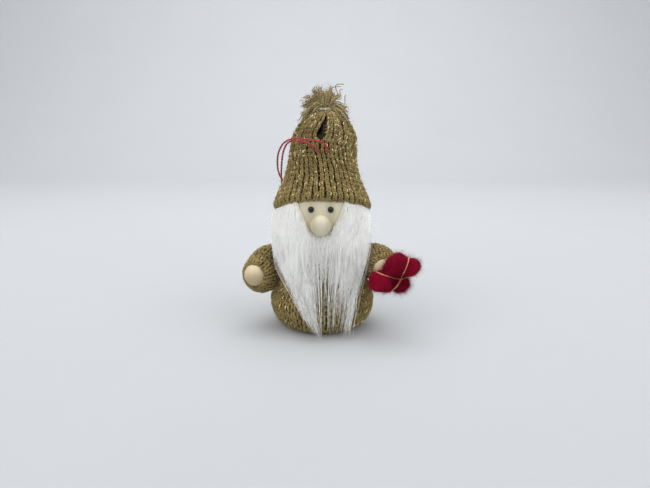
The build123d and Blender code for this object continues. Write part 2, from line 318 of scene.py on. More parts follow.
def fuzz(shape, places, outs, length, radius, seed, curl=0.6):
    """Fine loose fibres: short bent hairs standing on places, leaning away from outs at random."""
    rng = np.random.default_rng(seed)
    count = len(places)
    t = np.linspace(0, 1, 5)[:, None]
    lean = unit(outs * 0.8 + rng.normal(0, 0.7, (count, 3)))
    bend = unit(rng.normal(size=(count, 3)))
    size = length * rng.uniform(0.4, 1.3, (count, 1, 1))
    paths = places[:, None] + size * (lean[:, None] * t + curl * bend[:, None] * t**2)
    paths[..., 2] = np.maximum(paths[..., 2], 2 * radius)
    thick = radius * (1 - 0.7 * t[:, 0])
    tubes(shape, paths, thick, unit(np.cross(lean, bend) + 1e-3)[:, None], sides=3)


# ---------------- finishes


def operator(operation, swapped=False):
    """A Python operator that adds one Math node."""

    def apply(self, other):
        pair = (other, self) if swapped else (self, other)
        return self.finish.node("ShaderNodeMath", {"operation": operation}, dict(enumerate(pair)))

    return apply


class Value:
    """A socket of a finish, so that shader sums are written as ordinary sums."""

    def __init__(self, finish, socket):
        self.finish = finish
        self.socket = socket

    __add__ = operator("ADD")
    __radd__ = operator("ADD", True)
    __mul__ = operator("MULTIPLY")
    __rmul__ = operator("MULTIPLY", True)


class Finish:
    """A material being made: its Principled shader and the nodes that feed it."""

    def __init__(self, name, **sockets):
        self.material = bpy.data.materials.new(name)
        self.material.use_nodes = True
        self.tree = self.material.node_tree
        self.shader = self.tree.nodes["Principled BSDF"]
        for key, value in sockets.items():
            self.shader.inputs[key.replace("_", " ")].default_value = value

    def node(self, kind, settings=None, inputs=None, output=0):
        """Any node: its settings first, then the values or links of its sockets."""
        new = self.tree.nodes.new(kind)
        for key, value in (settings or {}).items():
            setattr(new, key, value)
        for key, value in (inputs or {}).items():
            if isinstance(value, Value):
                self.tree.links.new(value.socket, new.inputs[key])
            else:
                new.inputs[key].default_value = value
        return Value(self, new.outputs[output])

    def place(self, stretch=(1, 1, 1)):
        """The piece's own coordinates, stretched."""
        where = self.node("ShaderNodeTexCoord", output="Object")
        return self.node("ShaderNodeMapping", inputs={"Vector": where, "Scale": stretch})

    def weave(self, stretch=(1, 1, 1)):
        """Turns round and millimetres along a yarn, stretched."""
        where = self.node("ShaderNodeUVMap", {"uv_map": "weave"})
        return self.node("ShaderNodeMapping", inputs={"Vector": where, "Scale": stretch})

    def noise(self, where, size, detail=2.0, roughness=0.5):
        """Cloudy values with features of a size in metres, or in the units of a weave."""
        inputs = {"Vector": where, "Scale": 1 / size, "Detail": detail, "Roughness": roughness}
        return self.node("ShaderNodeTexNoise", inputs=inputs)

    def band(self, value, low, high, start=0.0, stop=1.0):
        """The value's range from low to high, taken smoothly to start to stop."""
        inputs = {0: value, 1: low, 2: high, 3: start, 4: stop}
        return self.node("ShaderNodeMapRange", {"interpolation_type": "SMOOTHSTEP"}, inputs)

    def blend(self, share, first, second, way="MIX"):
        """One colour laid over another."""
        rgba = {6: first, 7: second}
        colours = {k: (*v, 1) if isinstance(v, tuple) else v for k, v in rgba.items()}
        settings = {"data_type": "RGBA", "blend_type": way}
        return self.node("ShaderNodeMix", settings, {0: share, **colours}, output=2)

    def bump(self, height, depth, strength=1.0):
        """Surface relief: heights from 0 to 1 over a depth in metres."""
        inputs = {"Height": height, "Distance": depth, "Strength": strength}
        return self.node("ShaderNodeBump", inputs=inputs)

    def done(self, **sockets):
        """Joins values to the shader's sockets and gives the material."""
        for key, value in sockets.items():
            self.tree.links.new(value.socket, self.shader.inputs[key.replace("_", " ")])
        return self.material


def wool_finish(name, dark, mid, light, bloom=0.2):
    """Plied yarn: twisted plies and fine fibres along it, mottled from strand to strand."""
    f = Finish(name, Roughness=0.85, Sheen_Weight=bloom, Sheen_Roughness=0.5)
    mottle = f.noise(f.place(), 0.0035, 3, 0.6)
    fibre = f.noise(f.weave((9, 1.4, 1)), 1.0, 3, 0.65)
    plies = f.node(
        "ShaderNodeTexWave",
        {"bands_direction": "DIAGONAL"},
        {"Vector": f.weave((1.6, 0.62, 0)), "Scale": 1.0, "Distortion": 0.8, "Detail Scale": 2.0},
        output=1,
    )
    tone = f.band(mottle * 0.55 + fibre * 0.35 + plies * 0.25, 0.38, 0.78)
    colour = f.blend(tone, f.blend(f.band(tone, 0.0, 0.5), dark, mid), light)
    relief = f.bump(plies * 0.7 + fibre * 0.5, 0.0004, 0.8)
    return f.done(Base_Color=colour, Normal=relief)


def wood_finish(name, pale, deep, stretch=(1.0, 1.0, 0.18), ring=0.0016, across="X"):
    """Sanded pale wood: wavering year rings along the grain, pores and a few darker flecks."""
    f = Finish(name, Roughness=0.5, Coat_Weight=0.12, Coat_Roughness=0.35)
    where = f.place(stretch)
    wander = f.noise(where, 0.008, 2, 0.5)
    rings = f.node(
        "ShaderNodeTexWave",
        {"wave_type": "BANDS", "bands_direction": across},
        {"Vector": where, "Scale": 0.05 / ring, "Distortion": 3.2, "Detail": 2.0, "Detail Scale": 1.2},
        output=1,
    )
    pores = f.noise(f.place((5, 5, 0.35)), 0.0011, 4, 0.7)
    tone = f.band(rings * 0.5 + wander * 0.5, 0.25, 0.85)
    colour = f.blend(tone * 0.75, pale, deep)
    colour = f.blend(f.band(pores, 0.60, 0.74, 0.0, 0.35), colour, deep)
    roughness = f.band(pores, 0.3, 0.7, 0.42, 0.6)
    relief = f.bump(pores * 0.6 + rings * 0.3, 0.00008, 0.5)
    return f.done(Base_Color=colour, Roughness=roughness, Normal=relief)


def hair_finish(name, light, dark, roughness=0.42):
    """Glossy synthetic hair, a little darker here and there along each lock lower down: painted shade,
    which fades out to painted plain light at the top of the beard. It also glows a little: painted light.
    """
    # Emission Strength 0.11: the hair glows a little, painted light.
    f = Finish(name, Roughness=roughness, Emission_Strength=0.11)
    streak = f.noise(f.place((1, 1, 0.05)), 0.0007, 2, 0.6)
    patch = f.noise(f.place((1, 1, 0.4)), 0.006, 2, 0.5)
    tone = f.band(streak * 0.75 + patch * 0.25, 0.38, 0.58)
    height = f.node("ShaderNodeSeparateXYZ", inputs={"Vector": f.place()}, output=2)
    # From 34 to 56 mm up the colour turns plain light: painted light on the beard's top, where the
    # streaks of painted shade fade out.
    dense = f.band(height, 0.034, 0.056, 0.0, 0.7)
    colour = f.blend(dense, f.blend(tone, dark, light), light)
    return f.done(Base_Color=colour, Emission_Color=colour)


def felt_finish(name, deep, bright):
    """Felted wool: clouded colour and a tangle of fine fibres."""
    f = Finish(name, Roughness=0.95, Specular_IOR_Level=0.1, Sheen_Weight=0.08)
    f.shader.inputs["Sheen Tint"].default_value = (0.9, 0.25, 0.3, 1)
    cloud = f.noise(f.place(), 0.004, 4, 0.65)
    tangle = f.noise(f.place(), 0.0008, 4, 0.75)
    tone = f.band(cloud * 0.6 + tangle * 0.5, 0.35, 0.8)
    return f.done(Base_Color=f.blend(tone, deep, bright), Normal=f.bump(tangle, 0.0009, 0.9))


def metal_thread_finish(name, pale, deep, glow):
    """Flat metal film wound round a thread: small bright facets, and a glow of painted light."""
    # Emission of strength glow: the film glows, painted light.
    f = Finish(name, Metallic=0.85, Emission_Strength=glow)
    facets = f.noise(f.place(), 0.0004, 2, 0.6)
    tone = f.band(facets, 0.35, 0.65)
    roughness = f.band(facets, 0.3, 0.7, 0.2, 0.45)
    colour = f.blend(tone, deep, pale)
    relief = f.bump(facets, 0.0002, 0.7)
    return f.done(Base_Color=colour, Emission_Color=colour, Roughness=roughness, Normal=relief)


def thread_finish(name, dark, light, roughness=0.55):
    """Twisted thread: diagonal plies with fine fibres."""
    f = Finish(name, Roughness=roughness, Sheen_Weight=0.25)
    plies = f.node(
        "ShaderNodeTexWave",
        {"bands_direction": "DIAGONAL"},
        {"Vector": f.weave((2.0, 1.2, 0)), "Scale": 1.0, "Distortion": 0.4},
        output=1,
    )
    fibre = f.noise(f.weave((12, 2.5, 1)), 1.0, 2, 0.6)
    colour = f.blend(f.band(plies * 0.6 + fibre * 0.5, 0.25, 0.85), dark, light)
    return f.done(Base_Color=colour, Normal=f.bump(plies * 0.7 + fibre * 0.4, 0.0003, 0.6))


def woven_finish(name, dark, light, size=0.0009):
    """Plain woven cloth or card: crossed fine stripes under a cloudy tone."""
    f = Finish(name, Roughness=0.9)
    cloud = f.noise(f.place(), size * 6, 3, 0.6)
    threads = f.noise(f.place((1, 1, 6)), size, 2, 0.5) * f.noise(f.place((6, 6, 1)), size, 2, 0.5)
    tone = f.band(cloud * 0.5 + threads * 1.4, 0.3, 0.9)
    return f.done(Base_Color=f.blend(tone, dark, light), Normal=f.bump(threads, 0.0003, 0.6))


def bead_finish(name):
    """Polished black bead with faint clouding in its shine."""
    f = Finish(name, Coat_Weight=0.25, Coat_Roughness=0.05, Specular_IOR_Level=0.3)
    cloud = f.noise(f.place(), 0.0008, 2, 0.5)
    colour = f.blend(f.band(cloud, 0.3, 0.7), (0.004, 0.004, 0.005), (0.012, 0.011, 0.013))
    return f.done(Base_Color=colour, Roughness=f.band(cloud, 0.3, 0.7, 0.10, 0.2))


def foam_finish(name):
    """Expanded beads pressed together."""
    f = Finish(name, Roughness=0.8)
    cells = f.node(
        "ShaderNodeTexVoronoi", {"feature": "DISTANCE_TO_EDGE"}, {"Vector": f.place(), "Scale": 420.0}
    )
    tone = f.band(cells, 0.0, 0.12)
    colour = f.blend(tone, (0.7, 0.7, 0.68), (0.88, 0.88, 0.86))
    return f.done(Base_Color=colour, Normal=f.bump(tone, 0.0002, 0.6))


def wire_finish(name):
    """Drawn steel wire with fine lengthwise scratches."""
    f = Finish(name, Metallic=1.0)
    scratches = f.noise(f.place((0.4, 4, 4)), 0.001, 3, 0.6)
    colour = f.blend(scratches, (0.42, 0.42, 0.43), (0.66, 0.66, 0.67))
    return f.done(Base_Color=colour, Roughness=f.band(scratches, 0.3, 0.7, 0.3, 0.5))


olive_wool = wool_finish("olive_wool", (0.085, 0.054, 0.009), (0.235, 0.160, 0.034), (0.46, 0.34, 0.10))
frayed_wool = wool_finish("frayed_wool", (0.22, 0.15, 0.05), (0.46, 0.345, 0.13), (0.70, 0.57, 0.29))
# Grounds: the olive yarn made near black, painted shade between the stitches and inside the hat's gap.
olive_painted_shade = wool_finish(
    "olive_painted_shade", (0.009, 0.006, 0.002), (0.020, 0.014, 0.005), (0.038, 0.026, 0.009), 0.0
)
sleeve_painted_shade = wool_finish(
    "sleeve_painted_shade", (0.03, 0.02, 0.005), (0.075, 0.05, 0.014), (0.13, 0.09, 0.03), 0.0
)
pale_wood = wood_finish("pale_wood", (0.69, 0.63, 0.47), (0.54, 0.46, 0.30))
hand_wood = wood_finish("hand_wood", (0.70, 0.59, 0.38), (0.44, 0.32, 0.17), (0.5, 0.5, 1.0), 0.0028, "Z")
white_hair = hair_finish("white_hair", (1.0, 1.0, 0.98), (0.68, 0.68, 0.66))
hair_cloth = woven_finish("hair_cloth", (0.62, 0.57, 0.44), (0.84, 0.80, 0.68))
crimson_felt = felt_finish("crimson_felt", (0.18, 0.001, 0.014), (0.46, 0.004, 0.042))
# Both gold films glow, the glints most: painted light.
gold_lurex = metal_thread_finish("gold_lurex", (1.0, 0.66, 0.36), (0.60, 0.28, 0.11), 0.05)
gold_glint = metal_thread_finish("gold_glint", (1.0, 0.90, 0.62), (0.55, 0.36, 0.12), 0.45)
red_thread = thread_finish("red_thread", (0.32, 0.012, 0.010), (0.62, 0.04, 0.035))
tie_cotton = thread_finish("tie_cotton", (0.70, 0.65, 0.50), (0.95, 0.92, 0.80), 0.8)
black_bead = bead_finish("black_bead")
white_foam = foam_finish("white_foam")
bright_wire = wire_finish("bright_wire")
brown_card = woven_finish("brown_card", (0.20, 0.13, 0.07), (0.36, 0.25, 0.15), 0.0004)
white_fibre = woven_finish("white_fibre", (0.72, 0.72, 0.70), (0.90, 0.90, 0.88))

cad_finishes = {
    pale_wood: ["head_ball", "nose_bead", "neck_dowel"],
    hand_wood: ["left_hand", "right_hand"],
    black_bead: ["left_eye", "right_eye"],
    hair_cloth: ["beard_backing"],
    white_foam: ["body_core"],
    brown_card: ["base_disc"],
    bright_wire: ["left_arm_wire", "right_arm_wire"],
    white_fibre: ["left_stuffing", "right_stuffing"],
}
for finish, nodes in cad_finishes.items():
    for node in nodes:
        solid = bpy.data.objects[node]
        solid.data.materials.clear()
        solid.data.materials.append(finish)

# ---------------- hat

hem_height = 58.7
hem_radius = 23.8
hem_tilt = radians(17.0)
gathered_height = 48.1        # from the hem to the thread, up the hat's axis
hat_up = unit(np.array([sin(radians(0.8)), sin(radians(3.0)), 1.0]))
hat_right = unit(np.cross(np.cross(hat_up, np.array([1.0, 0, 0])), hat_up))
hat_back = np.cross(hat_up, hat_right)
hat_origin = np.array([0, 0, hem_height])
hat_side = smooth_line(
    [
        (23.5, -9.5), (23.8, 0.0), (22.2, 6.0), (19.9, 11.5), (17.6, 17.5), (16.1, 24.0), (15.4, 30.0),
        (14.6, 35.3), (12.2, 40.8), (8.2, 45.2), (3.4, 48.2),
    ]
)
hat_run = np.linspace(0, 1, len(hat_side))
slit_low = 0.60               # share of the way up where the gap in the gathers begins
slit_half_width = 2.1


def hem_rise(turn):
    """How far the tilted hem lies above its middle, at an angle from the front."""
    return hem_radius * tan(hem_tilt) * np.cos(turn)


def hat_surface(turn, rise):
    """The knitted hat: a side line turned about a leaning axis. Turn 0 is the front, turning to
    the right, and rise runs from the tilted hem to the thread. Thirteen soft folds swell the
    radius above the middle. The angles are squeezed round the back by the width of a gap that
    stays open at the front, a skewed half sine wave over the share of the way above its foot,
    and the top leans a millimetre to the right."""
    hem_run = np.interp(hem_rise(turn), hat_side[:, 1], hat_run)
    run = hem_run + (1 - hem_run) * rise
    radius = np.interp(run, hat_run, hat_side[:, 0])
    height = np.interp(run, hat_run, hat_side[:, 1])
    folds = np.clip((rise - 0.45) / 0.4, 0, 1)
    radius = radius * (1 + 0.075 * folds * np.sin(13 * turn + 4 * rise))
    open_share = np.clip((rise - slit_low) / (1 - slit_low), 0, 1)
    gap = slit_half_width * np.sin(pi * open_share**0.36) ** 1.3 * (open_share > 0)
    half = gap / np.maximum(radius, 2)
    twist = -0.20 * np.exp(-(((rise - slit_low) / 0.22) ** 2))
    around = twist + half + turn * (1 - half / pi)
    lie = np.stack([radius * np.sin(around), -radius * np.cos(around), height], -1)
    lie[..., 0] += 1.0 / (1 + np.exp((33 - height) / 3.5))
    lie[..., 0] += 0.5 * ripple(lie, 3, 34)
    lie[..., 1] += 0.5 * ripple(lie, 4, 30)
    return hat_origin + lie[..., :1] * hat_right + lie[..., 1:2] * hat_back + lie[..., 2:] * hat_up


hat_columns, hat_rows = 46, 20
hat_lines, hat_outs = stitches(hat_surface, hat_columns, hat_rows, lean=0.15, depth=0.5, rib=1.05, seed=2)
hat_yarn = yarn_radius * np.clip(np.linalg.norm(hat_lines[..., :2], axis=-1) / 21, 0.62, 1.04)
closed_rows = int(hat_rows * slit_low) - 1


def make_hat():
    """Ribbed knitting over a thin ground of painted shade."""
    ground = shell_piece("hat_shade_sheet", hat_surface, 2.1, 0.5, "figure", olive_painted_shade, "knit")
    shape = Shape()
    low, high = slice(0, closed_rows), slice(closed_rows, hat_rows)
    tubes(shape, hat_lines[low], hat_yarn[low], hat_outs[low], ring=True)
    tubes(shape, hat_lines[high], hat_yarn[high], hat_outs[high])
    knitting = shape.piece("hat_knitting", "figure", olive_wool, "knit")
    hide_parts("hat")
    return ground, knitting


hat_shade_sheet, hat_knitting = make_hat()

# ---------------- body

body_side = smooth_line(
    [
        (12.0, 0.8), (17.0, 0.9), (23.0, 4.6), (25.4, 12.5), (23.7, 19.5), (19.4, 27.5), (15.7, 34.5),
        (12.6, 38.6),
    ]
)
body_run = np.linspace(0, 1, len(body_side))
shoulder_room = {"left": 9.4, "right": 8.8}


def body_surface(turn, rise):
    """The squat body: a side line turned about the upright axis. Places nearer to a shoulder
    than its room are pushed out to that distance, so that the arm can turn there."""
    radius = np.interp(rise, body_run, body_side[:, 0])
    height = np.interp(rise, body_run, body_side[:, 1])
    place = np.stack([radius * np.sin(turn), -radius * np.cos(turn), height], -1)
    place[..., :2] *= (1 + 0.012 * ripple(place, 5, 26))[..., None]
    for side, centre in shoulders.items():
        away = place - centre
        distance = np.linalg.norm(away, axis=-1, keepdims=True)
        room = shoulder_room[side] + 0.6
        place = np.where(distance < room, centre + away / distance * room, place)
    return place


body_yarn = 1.12 * yarn_radius
body_lines, body_outs = stitches(body_surface, 40, 15, lean=0.20, depth=0.8, rib=0.5, seed=5)
body_lines[..., 2] = np.maximum(body_lines[..., 2], body_yarn + 0.02)  # none of it under the table


def knitted_over(ground, name, node, body, lines, yarn, outs):
    """Rings of yarn over a ground of painted shade, in place of a CAD cloth. Gives the ground back."""
    shape = Shape()
    tubes(shape, lines, yarn, outs, ring=True)
    knitting = shape.piece(name, body, olive_wool, "knit")
    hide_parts(node)
    return ground


body_shade_sheet = knitted_over(
    shell_piece("body_shade_sheet", body_surface, 1.6, 0.5, "figure", olive_painted_shade, "knit"),
    "body_knitting", "body_cover", "figure", body_lines, body_yarn, body_outs,
)

# ---------------- sleeves

cuffs = {"left": np.array([-30.0, -5.4, 28.3]), "right": np.array([28.6, -4.5, 32.5])}
sleeve_widths = {"left": (7.7, 10.0), "right": (7.6, 8.2)}
# How far each sleeve begins inside the body and below the shoulder.
sleeve_root, sleeve_drop = 6.5, {"left": 1.2, "right": 1.0}
pin_angle = radians(20)


def sleeve_surface(side):
    """A short plump sleeve along a bent line from the shoulder to the hand. Each ring is an
    ellipse, height cos turn up and width sin turn across. Both sizes grow as a dome over the
    first half of the line and shrink to the hand's bead over the last third."""
    centre, hand_radius = hands[side]
    pin = np.array([cos(pin_angle) * np.sign(shoulders[side][0]), -sin(pin_angle), 0])
    tip = centre + 1.2 * unit(centre - cuffs[side])
    root = unit(pin + 0.9 * unit(cuffs[side] - shoulders[side]))
    start = shoulders[side] - np.array([0, 0, sleeve_drop[side]])
    line = smooth_line([start - sleeve_root * root, start - root, cuffs[side], tip])
    share = np.linspace(0, 1, len(line))
    dome, cuff = np.clip(share / 0.5, 0, 1), np.clip((share - 0.62) / 0.38, 0, 1) ** 1.6
    plump = (1 - (1 - dome) ** 2.2) ** 0.5
    widths, heights = (
        (size * plump * (1 - cuff) + (hand_radius * 0.98 + 0.3) * cuff) for size in sleeve_widths[side]
    )
    along = unit(np.gradient(line, axis=0))
    up = unit(np.array([0, 0, 1.0]) - along[:, 2:] * along)
    across = np.cross(along, up)
    step = np.hypot(np.linalg.norm(np.diff(line, axis=0), axis=1), np.diff(heights))
    run = np.concatenate([[0], np.cumsum(step)]) / step.sum()

    def surface(turn, rise):
        rise = np.interp(rise, run, share)
        mid, out_up, out_across = (
            np.stack([np.interp(rise, share, part[:, k]) for k in range(3)], -1)
            for part in (line, up, across)
        )
        width, height = (np.interp(rise, share, sizes)[..., None] for sizes in (widths, heights))
        out_up, out_across = height * out_up, width * out_across
        return mid + np.cos(turn)[..., None] * out_up + np.sin(turn)[..., None] * out_across

    return surface


sleeve_lines = {}


def make_sleeve(side, seed):
    """Knitting over a thin ground of painted shade, all on the arm."""
    surface = sleeve_surface(side)
    body = f"{side}_arm"
    ground = shell_piece(f"{side}_sleeve_painted_shade", surface, 1.3, 0.5, body, sleeve_painted_shade, "knit", 64, 32)
    lines, outs = stitches(surface, 15, 11, lean=0.20, depth=0.75, rib=0.45, seed=seed)
    sleeve_lines[side] = (lines, outs)
    name, yarn = f"{side}_sleeve", 1.15 * yarn_radius
    return knitted_over(ground, f"{name}_knitting", name, body, lines, yarn, outs)


sleeves = {side: make_sleeve(side, seed) for side, seed in (("left", 6), ("right", 7))}

# ---------------- beard

# The fur's front seen from ahead: how far round each edge lies, by height, in degrees.
fur_levels = np.array([0.5, 6.5, 14, 21, 28.5, 35.5, 46, 56, 62, 70])
fur_left = np.radians([4, 10, 19, 28, 37, 48, 62, 84, 96, 98])
fur_right = np.radians([28, 29, 33, 37, 42, 46, 54, 80, 96, 98])
fur_radius = np.array([30.2, 30.0, 29.2, 28.0, 27.2, 26.6, 26.2, 25.0, 23.8, 23.0])
# The share of the hairs that reach down past each height.
hairs_left = [0.0, 0.003, 0.012, 0.028, 0.055, 0.125, 0.29, 0.58, 1.0]
hairs_down_to = [0.8, 1.6, 5.0, 12.0, 20.0, 28.0, 35.0, 41.0, 48.0]
# Half the width of the face's V, by height.
face_levels, face_half_widths = [50.0, 51.5, 55.6, 66.0], [0.0, 4.6, 6.6, 11.4]
# How strongly hairs are drawn to their lock, by height.
lock_levels, lock_pull = [0, 14, 34, 48, 60], [0.88, 0.80, 0.45, 0.16, 0.0]
strand_steps = 15


def beard_strands(count, lock_share, seed):
    """Centre lines of hairs. Roots lie on the cheeks and jaw outside the face's V, thickest
    along its edges and under the hat. A hair's share of the way round goes from its own to its
    nearest lock's as it falls, with a small wave, and is scaled to the fur's edge at that height.
    Its radius leaves the skin exponentially and lies between the fur's front and the body."""
    rng = np.random.default_rng(seed)
    face_middle = (nose_low[0] + nose_high[0]) / 2
    turn = rng.uniform(-1.66, 1.66, count * 6)
    hem = hem_height + hem_rise(turn)
    level = rng.uniform(45.0, 66.0, count * 6)
    under_hat = rng.random(count * 6) < 0.30
    level = np.where(under_hat, hem + rng.uniform(-1.5, 1.2, count * 6), level)
    root = np.sqrt(np.maximum((head_radius + 0.9) ** 2 - (level - head_centre[2]) ** 2, 1))
    half_width = np.interp(level, face_levels, face_half_widths)
    shown = (level < hem + 1.3) & (np.abs(root * np.sin(turn) - face_middle) > half_width)
    turn, level = turn[shown][:count], level[shown][:count]
    number = len(turn)
    share = np.clip(turn / 1.62 + rng.normal(0, 0.03, number), -1.05, 1.05)
    tip = np.interp(rng.uniform(0.004, 1, number), hairs_left, hairs_down_to) + rng.normal(0, 0.8, number)
    long_lock = (share > 0.80) & (share < 1.0) & (rng.random(number) < 0.07)
    tip = np.where(long_lock, rng.uniform(1.2, 9, number), tip)
    left_lock = (share < -0.55) & (rng.random(number) < 0.014)
    tip = np.where(left_lock, rng.uniform(6, 15, number), tip)
    edge = 6 * np.clip(np.abs(share) - 0.5, 0, 1) * rng.uniform(0, 2, number)
    inner = 7 * (np.abs(share - 0.42) < 0.34) * (tip < 26) * rng.uniform(0, 1.6, number)
    tip = np.where(long_lock, tip, tip + edge + inner)
    tip = np.clip(tip, 1.0, level - 6)
    nearest = lock_share[np.abs(share[:, None] - lock_share).argmin(1)]
    t = np.linspace(0, 1, strand_steps)
    height = level[:, None] + (tip - level)[:, None] * t + 0.9 * np.sin(pi * np.minimum(3 * t, 1))
    gather = np.interp(height, lock_levels, lock_pull)
    wave = rng.normal(0, 0.020, (number, 1)) * np.sin(
        rng.uniform(3, 8, (number, 1)) * t + rng.uniform(0, 6, (number, 1))
    )
    stray = rng.normal(0, 0.11, (number, 1)) * (rng.random((number, 1)) < 0.28) * t**2
    lie = share[:, None] * (1 - gather) + nearest[:, None] * gather + wave + stray
    edge_left, edge_right, outer = (
        np.interp(height, fur_levels, values) for values in (fur_left, fur_right, fur_radius)
    )
    angle = lie * np.where(lie < 0, edge_left, edge_right)
    angle = turn[:, None] + (angle - turn[:, None]) * (1 - (1 - t) ** 3)
    depth = rng.uniform(0, 1, (number, 1)) ** 1.3
    held = np.interp(height, body_side[:, 1], body_side[:, 0])
    under = np.where(height > 42, outer - 4.0, np.maximum(outer - 4.0, held + 1.6))
    outer = outer + 0.5 * np.sin(7 * nearest + 3)[:, None]
    radius = outer + (under - outer) * depth
    skin = np.sqrt(np.maximum((head_radius + 0.5) ** 2 - (level - head_centre[2]) ** 2, 1))[:, None]
    leave = 1 - np.exp(-t * rng.uniform(7, 13, (number, 1)))
    radius = skin * (1 - leave) + radius * leave
    back = head_centre[1] * (1 - leave)
    paths = np.stack([radius * np.sin(angle), back - radius * np.cos(angle), height], -1)
    across = np.stack([np.cos(angle), np.sin(angle), np.zeros_like(angle)], -1)
    thick = rng.uniform(0.075, 0.115, (number, 1)) * (1 - 0.6 * t**2)
    return paths, across, thick


def make_beard():
    """The long hair, in a few pieces that share their locks, and short loose hairs over it."""
    loose = Shape()
    locks = np.linspace(-1.02, 1.02, 30) + np.random.default_rng(10).uniform(-0.028, 0.028, 30)
    for number, seed in enumerate((11, 12, 13, 14), 1):
        paths, across, thick = beard_strands(2100, locks, seed)
        shape = Shape()
        tubes(shape, paths, thick, across, sides=3)
        hair = shape.piece(f"beard_hair_{number}", "figure", white_hair, "white_fur")
        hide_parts("beard_pile")
        rng = np.random.default_rng(seed + 10)
        row, step = rng.integers(0, len(paths), 420), rng.integers(2, 8, 420)
        outs = unit(paths[row, step] * (1, 1, 0))
        fuzz(loose, paths[row, step], unit(outs - (0, 0, 1.1)), 4.2, 0.055, seed + 20, 0.45)
    loose.piece("beard_loose_hair", "figure", white_hair, "white_fur")


make_beard()

# ---------------- tuft and tie

neck = hat_origin + hat_up * gathered_height + hat_right * 0.4
# Each bunch of yarn ends: how many, heading across, back and up, spread and length.
bunches = [
    (52, (-0.42, 0.0, 1.0), 0.30, 10.4),
    (42, (0.20, 0.1, 1.0), 0.28, 10.0),
    (46, (-1.0, -0.2, 0.34), 0.30, 8.8),
    (44, (1.0, -0.2, 0.34), 0.30, 9.8),
    (5, (0.1, -1.0, 0.9), 0.30, 5.0),
    (26, (0.0, 1.0, 0.45), 0.40, 8.0),
]
# Each wisp: heading across, back and up, and length.
wisps = [
    (0.60, 0.0, 1.0, 16.0), (0.48, 0.2, 1.0, 15.0), (-1.0, 0.0, 0.45, 13.5), (-0.9, -0.2, 0.75, 12.5),
    (1.0, 0.0, 0.62, 13.5), (0.9, -0.1, 0.95, 14.0), (-0.4, -0.2, 1.0, 13.0),
]


def make_tuft():
    """Frayed yarn ends in bunches that spring from the thread, crimped by the stitches they were
    pulled from, with a few long curly wisps."""
    rng = np.random.default_rng(21)
    t = np.linspace(0, 1, 14)[:, None]
    sets = []
    for count, heading, spread, length in bunches:
        way = unit(np.array(heading) + rng.normal(0, spread, (count, 3)))
        sets.append(np.concatenate([way, length * rng.uniform(0.72, 1.06, (count, 1))], 1))
    bundle = np.vstack(sets)
    heading, size = bundle[:, :3], bundle[:, 3:, None]
    count = len(bundle)
    side = unit(np.cross(heading, rng.normal(size=(count, 3))))
    flat = 1 - np.abs(heading[:, 2:, None]) ** 2
    crimp = rng.uniform(0.25, 0.6, (count, 1, 1)) * np.sin(
        t * rng.uniform(9, 17, (count, 1, 1)) + rng.uniform(0, 6, (count, 1, 1))
    )
    start = neck + hat_up * 1.2 + unit(heading * (1, 1, 0.01)) * rng.uniform(0.4, 3.0, (count, 1))
    paths = start[:, None] + size * heading[:, None] * t + crimp * side[:, None] * t
    paths[..., 2] += (size * (0.42 * flat * t - 1.05 * flat * t**2))[..., 0]
    thick = rng.uniform(0.30, 0.52, (count, 1)) * (1 - 0.25 * t[:, 0] ** 3)
    shape = Shape()
    tubes(shape, paths, thick, side[:, None], sides=5)
    fuzz(shape, np.repeat(paths[:, -1], 4, 0), np.repeat(heading, 4, 0), 1.9, 0.07, 22, 0.8)
    middle = paths[:, 4:].reshape(-1, 3)
    pick = rng.integers(0, len(middle), 500)
    fuzz(shape, middle[pick], unit(middle[pick] - neck), 1.3, 0.05, 23, 0.9)
    t = np.linspace(0, 1, 40)[:, None]
    for number, (*heading, length) in enumerate(wisps):
        heading = unit(np.array(heading))
        side = unit(np.cross(heading, np.array([0.2, 1.0, 0.1])))
        other = np.cross(heading, side)
        curl = 1.9 * t * (np.cos(15 * t + number) * side + np.sin(15 * t + number) * other)
        line = neck + length * heading * t + curl - np.array([0, 0, 2.0]) * t**2 * (1 - heading[2])
        thick = 0.36 * (1 - 0.45 * t[:, 0])
        tubes(shape, line[None], thick, other, sides=4)
    tuft = shape.piece("tuft_yarn", "figure", frayed_wool, "knit")
    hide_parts("hat_tuft")
    return tuft


def make_tie():
    """Two turns of thread round the gathered top, as one spiral."""
    t = np.linspace(0, 1, 120)
    angle = 4 * pi * t
    lie = hat_right * np.cos(angle)[:, None] + hat_back * np.sin(angle)[:, None]
    path = neck + 3.9 * lie + hat_up * (0.3 + 1.0 * t)[:, None]
    shape = Shape()
    tubes(shape, path[None], 0.45, hat_up, sides=8)
    tie = shape.piece("tie_thread", "figure", tie_cotton, "tie_thread")
    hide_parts("hat_tie")
    return tie


hat_tuft = make_tuft()
hat_tie = make_tie()

# ---------------- hanging cord

cord_diameter = 1.0
cord_route = [
    (-0.4, -13.4, 86.9), (-1.8, -17.0, 89.6), (-6.2, -16.8, 92.4), (-11.6, -12.8, 93.6),
    (-16.2, -7.2, 92.8), (-19.0, -1.8, 88.2), (-20.2, 2.6, 81.6), (-21.0, 7.6, 74.4),
    (-20.8, 14.4, 67.8), (-18.4, 21.4, 61.0), (-16.2, 26.0, 52.8), (-15.0, 27.8, 44.4),
    (-12.0, 28.4, 37.8), (-6.0, 28.6, 36.2), (-2.0, 29.2, 41.2), (-3.6, 29.4, 49.4),
    (-8.6, 28.6, 57.6), (-14.8, 25.0, 64.6), (-20.0, 18.6, 70.2), (-22.4, 11.2, 75.4),
    (-22.6, 4.2, 81.2), (-21.4, -1.8, 88.0), (-17.8, -7.6, 93.0), (-12.0, -13.8, 94.8),
    (-5.6, -17.8, 93.8), (0.2, -18.4, 93.0), (3.0, -17.0, 90.2), (3.6, -13.4, 87.6),
]


